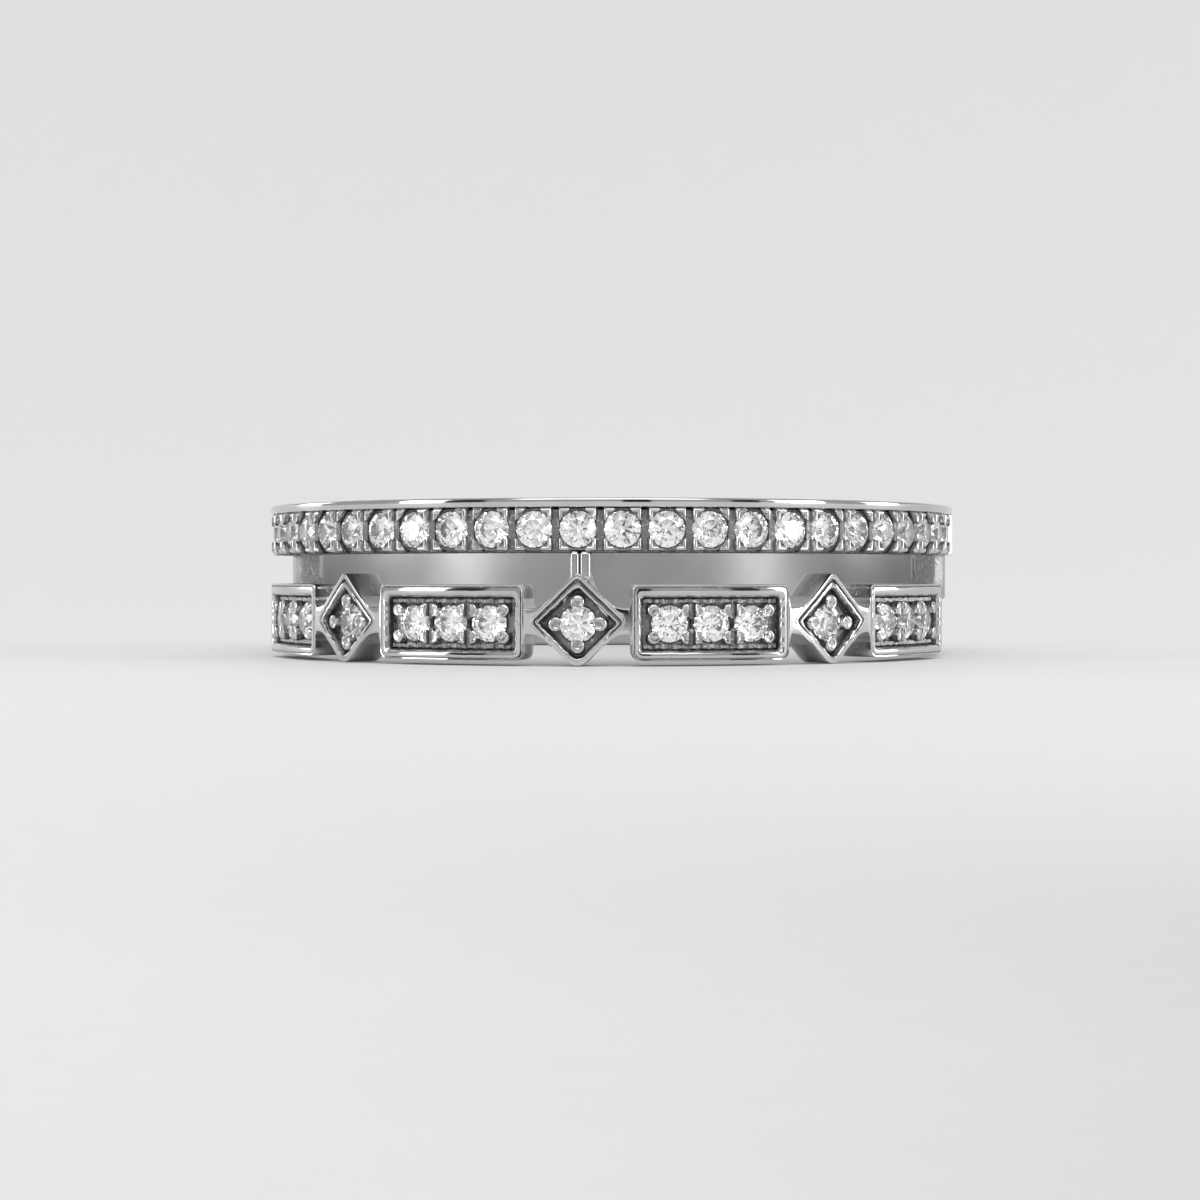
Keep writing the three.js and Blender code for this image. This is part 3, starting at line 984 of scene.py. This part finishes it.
@dataclass(frozen=True)
class Tree:
    """A material's node tree, with one method that adds any node."""

    material: bpy.types.Material

    def node(
        self,
        kind: str,
        settings: dict[str, Any] | None = None,
        inputs: dict[Any, Any] | None = None,
    ) -> bpy.types.Node:
        """Adds a node.

        Args:
            kind: the node's type.
            settings: its own settings, set first.
            inputs: the values or links of its sockets, by name or number.

        Returns:
            The node.
        """
        made = self.material.node_tree.nodes.new(kind)
        for name, value in (settings or {}).items():
            setattr(made, name, value)
        self.feed(made, inputs or {})
        return made

    def feed(self, node: bpy.types.Node, inputs: dict[Any, Any]) -> None:
        """Sets or links sockets of a node.

        Args:
            node: the node.
            inputs: the values or links of its sockets, by name or number.
        """
        for name, value in inputs.items():
            source = value.socket if isinstance(value, Value) else value
            if isinstance(source, bpy.types.NodeSocket):
                self.material.node_tree.links.new(source, node.inputs[name])
            else:
                node.inputs[name].default_value = source

    def value(self, kind: str, output: Any, *arguments: Any) -> "Value":
        """Adds a node and wraps one of its outputs."""
        return Value(self, self.node(kind, *arguments).outputs[output])

    def blend(self, share: Any, first: Any, second: Any) -> bpy.types.NodeSocket:
        """Blends from a first to a second colour."""
        return self.node("ShaderNodeMix", {"data_type": "RGBA"}, {0: share, 6: first, 7: second}).outputs[2]

    def bump(self, height: "Value", strength: float, distance: float) -> bpy.types.NodeSocket:
        """Turns a height into a normal, with the distance in millimetres."""
        inputs = {"Strength": strength, "Distance": distance * MM, "Height": height}
        return self.node("ShaderNodeBump", {}, inputs).outputs[0]

    def shaded(self, shader: bpy.types.Node, inputs: dict[str, Any]) -> bpy.types.Material:
        """Feeds the material's Principled shader and gives back the material."""
        self.feed(shader, inputs)
        return self.material


@dataclass(frozen=True)
class Value:
    """A number socket that adds a Math node for each operator used on it."""

    tree: Tree
    socket: bpy.types.NodeSocket

    def _math(self, operation: str, first: Any, second: Any) -> "Value":
        """The result of a Math node."""
        return self.tree.value("ShaderNodeMath", 0, {"operation": operation}, {0: first, 1: second})

    def __add__(self, other: Any) -> "Value":
        """This plus other."""
        return self._math("ADD", self, other)

    __radd__ = __add__

    def __mul__(self, other: Any) -> "Value":
        """This times other."""
        return self._math("MULTIPLY", self, other)

    __rmul__ = __mul__

    def __sub__(self, other: Any) -> "Value":
        """This minus other."""
        return self._math("SUBTRACT", self, other)

    def __rsub__(self, other: Any) -> "Value":
        """Other minus this."""
        return self._math("SUBTRACT", other, self)

    def __pow__(self, other: Any) -> "Value":
        """This to the power of other."""
        return self._math("POWER", self, other)

    def clipped(self) -> "Value":
        """This, kept between zero and one."""
        return self.tree.value("ShaderNodeClamp", 0, {}, {0: self})

    def above(self, start: float, gain: float) -> "Value":
        """Zero up to a start, then rising by a gain to one."""
        return ((self - start) * gain).clipped()


def new_tree(name: str) -> tuple[Tree, bpy.types.Node]:
    """Adds a material with only a Principled shader.

    Args:
        name: the material's name.

    Returns:
        Its tree and the shader.
    """
    material = bpy.data.materials.new(name)
    material.use_nodes = True
    return Tree(material), material.node_tree.nodes["Principled BSDF"]


def noise(tree: Tree, per_mm: float, detail: float = 3.0) -> Value:
    """Noise in the ring's own space.

    Args:
        tree: the material's tree.
        per_mm: how many features a millimetre has.
        detail: how many finer layers are added.

    Returns:
        The noise, from zero to one.
    """
    place = tree.node("ShaderNodeTexCoord").outputs["Object"]
    mapped = tree.node("ShaderNodeMapping", {}, {"Vector": place, "Scale": (per_mm / MM,) * 3}).outputs[0]
    return tree.value("ShaderNodeTexNoise", "Fac", {}, {"Vector": mapped, "Scale": 1.0, "Detail": detail})


@dataclass(frozen=True)
class PolishedSilver:
    """High-polish silver with faint wear, painted shade and matt roughness in the recesses, and satin on the
    bore.
    """

    name: str = "polished_silver"
    colour: Colour = (0.60, 0.60, 0.605, 1)
    worn: Colour = (0.54, 0.54, 0.545, 1)
    # the colour of the painted shade in the recesses
    dark: Colour = (0.19, 0.19, 0.193, 1)
    # the colour of lighter specks in the painted shade
    speck_colour: Colour = (0.42, 0.42, 0.43, 1)
    brushed: Colour = (0.48, 0.48, 0.485, 1)
    gloss: float = 0.05
    haze: float = 0.05
    matt: float = 0.42
    satin: float = 0.32
    # how strongly the attribute gives painted shade and matt roughness
    shade_gain: float = 1.35
    grit_in_shade: float = 0.7
    brush_marks: float = 0.008
    casting_skin: float = 1.6

    def finish(self) -> Finish:
        """Builds the material.

        The attribute of painted shade and satin, broken up by grit, mixes the polished colour with
        the painted shade's colour, dotted with lighter specks, and adds roughness by its square root.
        Below zero it mixes in the brushed colour and the satin roughness instead.

        Returns:
            The finish.
        """
        tree, shader = new_tree(self.name)
        recess = tree.value("ShaderNodeAttribute", "Fac", {"attribute_name": "recess"})
        grit = noise(tree, 14.0, 4.0)
        wear = noise(tree, 0.8).above(0.42, 3.5)
        light_specks = noise(tree, 7.0, 5.0).above(0.57, 12.0)
        # depth is how much painted shade a point gets, which also roughens it
        depth = (recess * self.shade_gain + (grit - 0.5) * self.grit_in_shade * recess).clipped()
        rugged = depth.above(0.4, 2.0)
        bore = (0.0 - recess).clipped()
        bright = tree.blend(bore, tree.blend(wear, self.colour, self.worn), self.brushed)
        # the painted shade, dotted with lighter specks where it is deep
        painted_shade_tone = tree.blend(light_specks * rugged, self.dark, self.speck_colour)
        rough = wear * self.haze + self.gloss + bore * self.satin + depth**0.5 * (self.matt - self.gloss)
        relief = noise(tree, 26.0, 2.0) * self.brush_marks + grit * rugged * self.casting_skin
        return Finish(tree.shaded(shader, {
            "Base Color": tree.blend(depth, bright, painted_shade_tone),
            "Roughness": rough,
            "Normal": tree.bump(relief, 0.7, 0.03),
            "Metallic": 1.0,
        }), Slot.METAL)


@dataclass(frozen=True)
class ClearStone:
    """A colourless cut stone with strong refraction, a faint haze on its facets and a trace of painted glow.
    """

    name: str = "clear_stone"
    colour: Colour = (1.0, 1.0, 1.0, 1)
    tint: Colour = (0.93, 0.935, 0.945, 1)
    refraction: float = 2.1
    # a painted glow that brightens the stones
    painted_glow: float = 0.027
    haze: float = 0.02

    def finish(self) -> Finish:
        """Builds the material.

        Returns:
            The finish.
        """
        tree, shader = new_tree(self.name)
        cloud = noise(tree, 3.0, 2.0)
        return Finish(tree.shaded(shader, {
            "Base Color": tree.blend(cloud, self.colour, self.tint),
            "Roughness": cloud * self.haze,
            "IOR": self.refraction,
            "Transmission Weight": 1.0,
            # the painted glow
            "Emission Color": self.colour,
            "Emission Strength": self.painted_glow,
        }), Slot.STONE)


@dataclass
class UpperRow:
    """The rail with its seats, claws and stones."""

    silver: Finish
    stone: Finish
    claw: Claw = Claw()
    groove: float = 0.012
    seat_round: float = 0.03
    seat_border: float = -0.12
    ridge_width: float = 0.20
    ridge_rise: float = 0.06
    scallop: float = 0.07
    ridge_foot: float = 0.03
    ridge_head: float = 0.05

    def places(self) -> list[Place]:
        """The rail's stones, from left to right."""
        names = sorted(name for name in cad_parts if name.startswith("rail_stone_"))
        return [Place.of(name) for name in names]

    def build(self) -> list[bpy.types.Object]:
        """Makes the rail, its seats, its claws and its stones.

        Returns:
            The pieces.
        """
        places = self.places()
        pitch = (places[-1].angle - places[0].angle) / (len(places) - 1)
        floor = SIZES.face - SIZES.seat_depth
        half = pitch * SIZES.face / 2 - self.groove / 2
        low = SIZES.rail_bottom - SIZES.rail_line + self.scallop
        high = SIZES.rim_bottom - SIZES.rail_line - self.groove
        cell = outline(box(-half, half, low, high), self.seat_round, 5, 12)
        hole = circle_like(cell, SIZES.hole)
        rings = seat_rings(floor, RailCore.channel, self.seat_border)
        seats = [nested(cell, hole, rings, place.angle, place.line) for place in places]
        claws = [self.claw.surface(place, floor, way) for place in places for way in Grip.CORNERS.value]
        # the ridges between the seats get full painted shade
        sizes = {
            "steps": 8, "unevenness": 0.0, "deep": 1.0, "outside": floor + self.ridge_rise,
            "bottom": SIZES.rail_bottom + self.ridge_foot, "top": SIZES.rim_bottom - self.ridge_head,
        }
        seats += [Ledge.across(place.angle + pitch / 2, self.ridge_width, **sizes) for place in places[:-1]]
        core = RailCore(seats_end=places[-1].angle + pitch / 2)
        stones = [RoundCut().surface(place, floor, 0.4 * k) for k, place in enumerate(places)]
        nodes = [place.node for place in places]
        return [
            make_piece("rail", [core.surface()], self.silver, 30),
            make_piece("rail_seats", seats, self.silver, 30),
            make_piece("rail_claws", claws, self.silver, 60),
            make_piece("rail_stones", stones, self.stone, 1, nodes),
        ]


@dataclass
class DiamondFrame:
    """One upright diamond frame with its pocket, seat, beads and stone."""

    node: str
    silver: Finish
    stone: Finish
    pocket_corners: Outline = ((1.03, 0.03), (0.0, 0.97), (-1.03, 0.03), (0.0, -0.99))
    frame_corners: Outline = ((1.31, 0.06), (0.0, 1.37), (-1.31, 0.06), (0.0, -1.235))
    frame_rounds: tuple[float, ...] = (0.15, 0.13, 0.15, 0.42)
    pocket_rounds: tuple[float, ...] = (0.08, 0.16, 0.08, 0.26)
    bead: Claw = Claw(
        round_corners(0.195), 0.05, 0.635, 0.615, top=SIZES.face - 0.04, lean=0.07, dimple=0.03, shade=0.5,
    )
    # the worked front's rings: share of the way to the pocket, depth below the face and painted shade
    front: Front = (
        (0.1, 0.0, 0), (0.2, 0.0, 0), (0.3, 0.0, 0), (0.34, 0.002, 0), (0.36, 0.015, 0.4),
        (0.41, 0.1, 1), (0.56, 0.1, 1), (0.61, 0.02, 0.4), (0.63, 0.006, 0), (0.7, 0.0, 0),
        (0.86, 0.0, 0), (0.92, 0.006, 0), (0.96, 0.035, 0.1), (1, 0.1, 0.5),
    )
    shoulder: float = 0.06
    filing: float = 0.006
    seat_scale: float = 1.01
    valley_end: float = 0.62
    fading: tuple[float, float] = (-0.45, -0.15)

    def build(self) -> list[bpy.types.Object]:
        """Makes the frame, its seat with four beads, and the stone.

        Returns:
            The pieces.
        """
        place = Place.of(self.node)
        name = self.node.removesuffix("_stone")
        floor = SIZES.pocket_floor
        outer = outline(self.frame_corners, np.array(self.frame_rounds))
        outer[:, 1] = np.maximum(outer[:, 1], -SIZES.stone_line)
        pocket = outline(self.pocket_corners, np.array(self.pocket_rounds))
        pocket = hand_filed(pocket, self.filing, 1.0 + place.angle)
        rings = frame_rings(self.front, self.shoulder, self.valley_end)
        fade = 1 - smoothstep(outer[:, 1], *self.fading)
        shell = nested(outer, pocket, rings, place.angle, place.line, fade)
        seat = pocket_seat(pocket * self.seat_scale, place)
        beads = [self.bead.surface(place, floor, way) for way in Grip.AXES.value]
        cut = RoundCut().surface(place, floor + SIZES.stone_rise, 0.2)
        return [
            make_piece(name + "_frame", [shell], self.silver, 30),
            make_piece(name + "_seat", [seat, *beads], self.silver, 50),
            make_piece(name + "_cut_stone", [cut], self.stone, 1, [self.node]),
        ]


@dataclass
class BarFrame:
    """One bar frame with its pocket, three seats, their claws and stones."""

    name: str
    silver: Finish
    stone: Finish
    end_room: float = 0.287
    side_room: float = 0.215
    end_frame: float = 0.245
    top_frame: float = 0.34
    bottom_frame: float = 0.26
    corner: float = 0.16
    pocket_round: float = 0.096
    cell_round: float = 0.04
    cell_overlap: float = 0.03
    groove: float = 0.008
    claw: Claw = Claw(
        ((0.095, -0.19), (0.095, 0.21), (-0.06, 0.17), (-0.13, 0.02), (-0.06, -0.14)), 0.04, 0.42, 0.37,
        top=SIZES.face - 0.04, lean=0.04, dimple=0.012, shade=0.2,
    )
    bead: Claw = Claw(
        round_corners(0.175), 0.05, 0.475, 0.385, top=SIZES.face - 0.04, lean=0.05, dimple=0.01, shade=0.0,
    )
    # the worked front's rings: share of the way to the pocket, depth below the face and painted shade
    front: Front = (
        (0.16, 0.004, 0), (0.2, 0.03, 0.7), (0.26, 0.035, 0.8), (0.29, 0.006, 0), (0.36, 0.0, 0),
        (0.52, 0.0, 0), (0.7, 0.001, 0), (0.76, 0.006, 0), (0.82, 0.02, 0), (0.92, 0.05, 0), (1, 0.1, 0.6),
    )
    shoulder: float = 0.1
    filing: float = 0.006
    lower_corner: float = 0.28
    ledge_from: float = 0.53
    ledge_room: float = 0.035
    ledge_short: float = 0.04
    ridges: tuple[tuple[float, float], ...] = ((0.12, 0.55), (-0.58, -0.12))
    ridge_width: float = 0.13
    ridge_rise: float = 0.13

    def build(self) -> list[bpy.types.Object]:
        """Makes the frame, its seats with their claws and beads, and the stones.

        Returns:
            The pieces.
        """
        names = sorted(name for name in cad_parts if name.startswith(self.name + "_stone_"))
        places = [Place.of(name) for name in names]
        middle = Place(self.name, float(np.mean([place.angle for place in places])), places[0].line)
        radius = SIZES.stone / 2
        pitch = (places[-1].angle - places[0].angle) / (len(places) - 1) * SIZES.face
        length = pitch * (len(places) - 1) / 2 + radius + self.end_room
        tall = radius + self.side_room
        pocket = outline(box(-length, length, -tall, tall), self.pocket_round)
        pocket = hand_filed(pocket, self.filing, 2.0 + middle.angle)
        long, top, low = length + self.end_frame, tall + self.top_frame, -tall - self.bottom_frame
        rounds = np.array([self.lower_corner, self.corner, self.corner, self.lower_corner])
        outer = outline(box(-long, long, low, top), rounds)
        floor = SIZES.pocket_floor
        shell = nested(outer, pocket, frame_rings(self.front, self.shoulder), middle.angle, middle.line)
        seats, held = [], []
        far_end, inner_end = length + self.cell_overlap - pitch, (pitch - self.groove) / 2
        for k, place in enumerate(places):
            first, last = k == 0, k == len(places) - 1
            left = -far_end if first else -inner_end
            right = far_end if last else inner_end
            cell = outline(box(left, right, -tall, tall), self.cell_round, 5, 12)
            seats.append(pocket_seat(cell, place))
            for way in Grip.CORNERS.value:
                at_end = (first and way[0] < 0) or (last and way[0] > 0)
                held.append((self.bead if at_end else self.claw).surface(place, floor, way))
        far = tall - self.ledge_room
        for bottom, above in ((self.ledge_from, far), (-far, -self.ledge_from)):
            sizes = {"bottom": middle.line + bottom, "top": middle.line + above}
            seats.append(Ledge.across(middle.angle, 2 * length - self.ledge_short, **sizes))
        for before, after in zip(places, places[1:]):
            for bottom, above in self.ridges:
                # the ridges between the seats get painted shade
                sizes = {
                    "steps": 10, "unevenness": 0.0, "deep": 0.95, "outside": floor + self.ridge_rise,
                    "bottom": middle.line + bottom, "top": middle.line + above,
                }
                seats.append(Ledge.across((before.angle + after.angle) / 2, self.ridge_width, **sizes))
        stones = [
            RoundCut().surface(place, floor + SIZES.stone_rise, 0.9 * k) for k, place in enumerate(places)
        ]
        return [
            make_piece(self.name + "_frame", [shell], self.silver, 30),
            make_piece(self.name + "_seats", seats + held, self.silver, 50),
            make_piece(self.name + "_cut_stones", stones, self.stone, 1, names),
        ]


@dataclass
class PlainParts:
    """The shank, the arms, the necks and the post."""

    silver: Finish
    bar_half: float = math.radians(12.3)
    pattern: float = math.radians(20.323)
    diamond_reach: float = 1.31
    bar_reach: float = 2.174
    arm_tuck: float = 0.12
    arm_end: float = math.radians(128)
    post_ribs: tuple[tuple[float, float], ...] = ((-0.21, 0.03), (0.06, 0.34))
    post_webs: tuple[tuple[float, float, float], ...] = ((-0.40, -0.16, 0.25), (0.28, 0.80, 0.5))

    def build(self) -> list[bpy.types.Object]:
        """Makes the plain metal between and behind the rows.

        Returns:
            The pieces.
        """
        arm_start = 3 * self.pattern + self.bar_half - SIZES.turn(self.arm_tuck)
        arms = [Arm(arm_start, self.arm_end).surface(), Arm(-self.arm_end, -arm_start).surface()]
        gap = self.pattern * SIZES.face - self.diamond_reach - self.bar_reach
        corner = SIZES.turn(self.diamond_reach)
        necks = [
            Neck(diamond * self.pattern + side * corner, side, gap).surface()
            for diamond in (-2, 0, 2)
            for side in (-1, 1)
        ]
        ribs = [Post(SIZES.turn(left), SIZES.turn(right)).surface() for left, right in self.post_ribs]
        for left, right, rise in self.post_webs:
            ribs.append(Web(SIZES.turn(left), SIZES.turn(right), rise=rise).surface())
        return [
            make_piece("shank", [Shank().surface()], self.silver, 50),
            make_piece("arms", arms, self.silver, 50),
            make_piece("necks", necks, self.silver, 50),
            make_piece("post", ribs, self.silver, 50),
        ]


@dataclass(frozen=True)
class Camera:
    """The camera, as the photograph's perspective gives it."""

    lens: float = 71.5
    distance: float = 72.1
    turned: float = math.radians(5.03)
    eye: float = 2.38
    across: float = -0.0095
    up: float = -0.0208
    near: float = 0.001
    far: float = 10.0

    def build(self) -> bpy.types.Object:
        """Sets the camera, looking level at the finger axis.

        Returns:
            The camera.
        """
        data = bpy.data.cameras.new("camera")
        data.lens = self.lens
        data.shift_x, data.shift_y = self.across, self.up
        data.clip_start, data.clip_end = self.near, self.far
        made = bpy.data.objects.new("camera", data)
        made.location = Vector((math.sin(self.turned), -math.cos(self.turned), 0)) * self.distance * MM
        made.location.z = self.eye * MM
        made.rotation_euler = (math.pi / 2, 0, self.turned)
        bpy.context.scene.collection.objects.link(made)
        bpy.context.scene.camera = made
        return made


@dataclass(frozen=True)
class SoftBox:
    """A soft light on a sphere about the ring, by degrees from the front and above the floor."""

    name: str
    azimuth: float
    height: float
    distance: float
    size: tuple[float, float]
    power: float
    aim: float = 2.0

    def build(self) -> None:
        """Adds the light, aimed at the ring."""
        data = bpy.data.lights.new(self.name, "AREA")
        data.shape = "RECTANGLE"
        data.size, data.size_y = (side * MM for side in self.size)
        data.energy = self.power
        light = bpy.data.objects.new(self.name, data)
        turn, rise = math.radians(self.azimuth), math.radians(self.height)
        away = Vector((math.sin(turn) * math.cos(rise), -math.cos(turn) * math.cos(rise), math.sin(rise)))
        light.location = away * self.distance * MM + Vector((0, 0, self.aim * MM))
        light.rotation_euler = away.to_track_quat("Z", "Y").to_euler()
        bpy.context.scene.collection.objects.link(light)


def stage_object(name: str, surface: Surface, material: bpy.types.Material) -> bpy.types.Object:
    """Writes a surface into a new stage object.

    Args:
        name: the object's name.
        surface: its mesh, in millimetres.
        material: its finish.

    Returns:
        The object.
    """
    mesh = bpy.data.meshes.new(name)
    mesh.from_pydata((surface.points * MM).tolist(), [], surface.faces[:, ::-1].tolist())
    mesh.polygons.foreach_set("use_smooth", np.ones(len(mesh.polygons), dtype=bool))
    mesh.materials.append(material)
    made = bpy.data.objects.new(name, mesh)
    bpy.context.scene.collection.objects.link(made)
    return made


@dataclass(frozen=True)
class Card:
    """An upright dark card that only shows in the polished metal, as dark lines."""

    name: str
    azimuth: float
    distance: float
    width: float
    height: float
    black: Colour = (0.02, 0.02, 0.02, 1)
    worn: Colour = (0.03, 0.03, 0.03, 1)

    def build(self) -> None:
        """Stands the card on the floor, facing the ring."""
        turn = math.radians(self.azimuth)
        side = np.array([math.cos(turn), math.sin(turn), 0]) * self.width / 2
        foot = np.array([math.sin(turn), -math.cos(turn), 0]) * self.distance
        top = np.array([0, 0, self.height])
        corners = np.stack([foot - side, foot + side, foot + side + top, foot - side + top])
        surface = Surface(corners, np.array([[3, 2, 1, 0]]), np.zeros(4))
        tree, shader = new_tree(self.name)
        felt = tree.blend(noise(tree, 0.5), self.black, self.worn)
        material = tree.shaded(shader, {"Base Color": felt, "Roughness": 0.9})
        stage_object(self.name, surface, material).visible_camera = False


@dataclass(frozen=True)
class Studio:
    """A pale sweep under and behind the ring, soft lights round it and dark cards near the camera."""

    half: float = 900.0
    back: float = 18.0
    bend: float = 320.0
    wall: float = 900.0
    below: float = 0.002
    grey: Colour = (0.825, 0.825, 0.825, 1)
    worn: float = 0.97
    surroundings: Colour = (0.50, 0.50, 0.50, 1)
    cards: tuple[Card, ...] = (
        Card("front_card", azimuth=12.5, distance=68, width=10, height=26),
        Card("left_card", azimuth=-42, distance=200, width=50, height=120),
        Card("right_card", azimuth=48, distance=240, width=40, height=120),
    )
    boxes: tuple[SoftBox, ...] = (
        SoftBox("top", azimuth=0, height=80, distance=420, size=(260, 160), power=0.16),
        SoftBox("left", azimuth=-58, height=12, distance=380, size=(110, 200), power=0.35),
        SoftBox("right", azimuth=68, height=12, distance=380, size=(120, 200), power=0.47),
        SoftBox("left_behind", azimuth=-112, height=12, distance=380, size=(100, 180), power=0.30),
        SoftBox("right_behind", azimuth=104, height=10, distance=380, size=(110, 130), power=0.24),
        SoftBox("front", azimuth=5, height=42, distance=330, size=(340, 160), power=0.46),
    )

    def sweep(self) -> bpy.types.Object:
        """The floor, rising in a quarter circle into the wall behind.

        Returns:
            The stage object.
        """
        turn = np.linspace(0, math.pi / 2, 24)
        y = np.concatenate([[-self.half], self.back + self.bend * np.sin(turn), [self.back + self.bend]])
        z = np.concatenate([[0.0], self.bend * (1 - np.cos(turn)), [self.wall]]) - self.below
        x = np.linspace(-self.half, self.half, 3)
        points = np.stack(np.broadcast_arrays(x[:, None], y[None], z[None]), axis=-1)
        surface = Surface.grid(points, np.zeros(points.shape[:2]), wrap=False)
        tree, shader = new_tree("pale_surface")
        grain = noise(tree, 2.5, 5.0)
        return stage_object("sweep", surface, tree.shaded(shader, {
            "Base Color": tree.blend(grain, self.grey, tuple(self.worn * c for c in self.grey)),
            "Normal": tree.bump(grain, 0.25, 0.05),
            "Roughness": 0.6,
        }))

    def build(self) -> None:
        """Sets the sweep, the surroundings, the cards and the lights."""
        self.sweep()
        world = bpy.data.worlds.new("surroundings")
        bpy.context.scene.world = world
        world.use_nodes = True
        world.node_tree.nodes["Background"].inputs["Color"].default_value = self.surroundings
        for part in (*self.cards, *self.boxes):
            part.build()
        view = bpy.context.scene.view_settings
        view.view_transform, view.look = "Standard", "None"


def main() -> None:
    """Builds the ring and its studio, and reports each piece."""
    logging.basicConfig(level=logging.INFO, format="%(name)s: %(message)s")
    Camera().build()
    Studio().build()
    silver = PolishedSilver().finish()
    stone = ClearStone().finish()
    pieces = PlainParts(silver).build()
    pieces += UpperRow(silver, stone).build()
    for node in ("left_diamond_stone", "middle_diamond_stone", "right_diamond_stone"):
        pieces += DiamondFrame(node, silver, stone).build()
    for bar in ("left_outer_bar", "left_inner_bar", "right_inner_bar", "right_outer_bar"):
        pieces += BarFrame(bar, silver, stone).build()
    LOG.info("%d pieces", len(pieces))


if __name__ == "__main__":
    main()
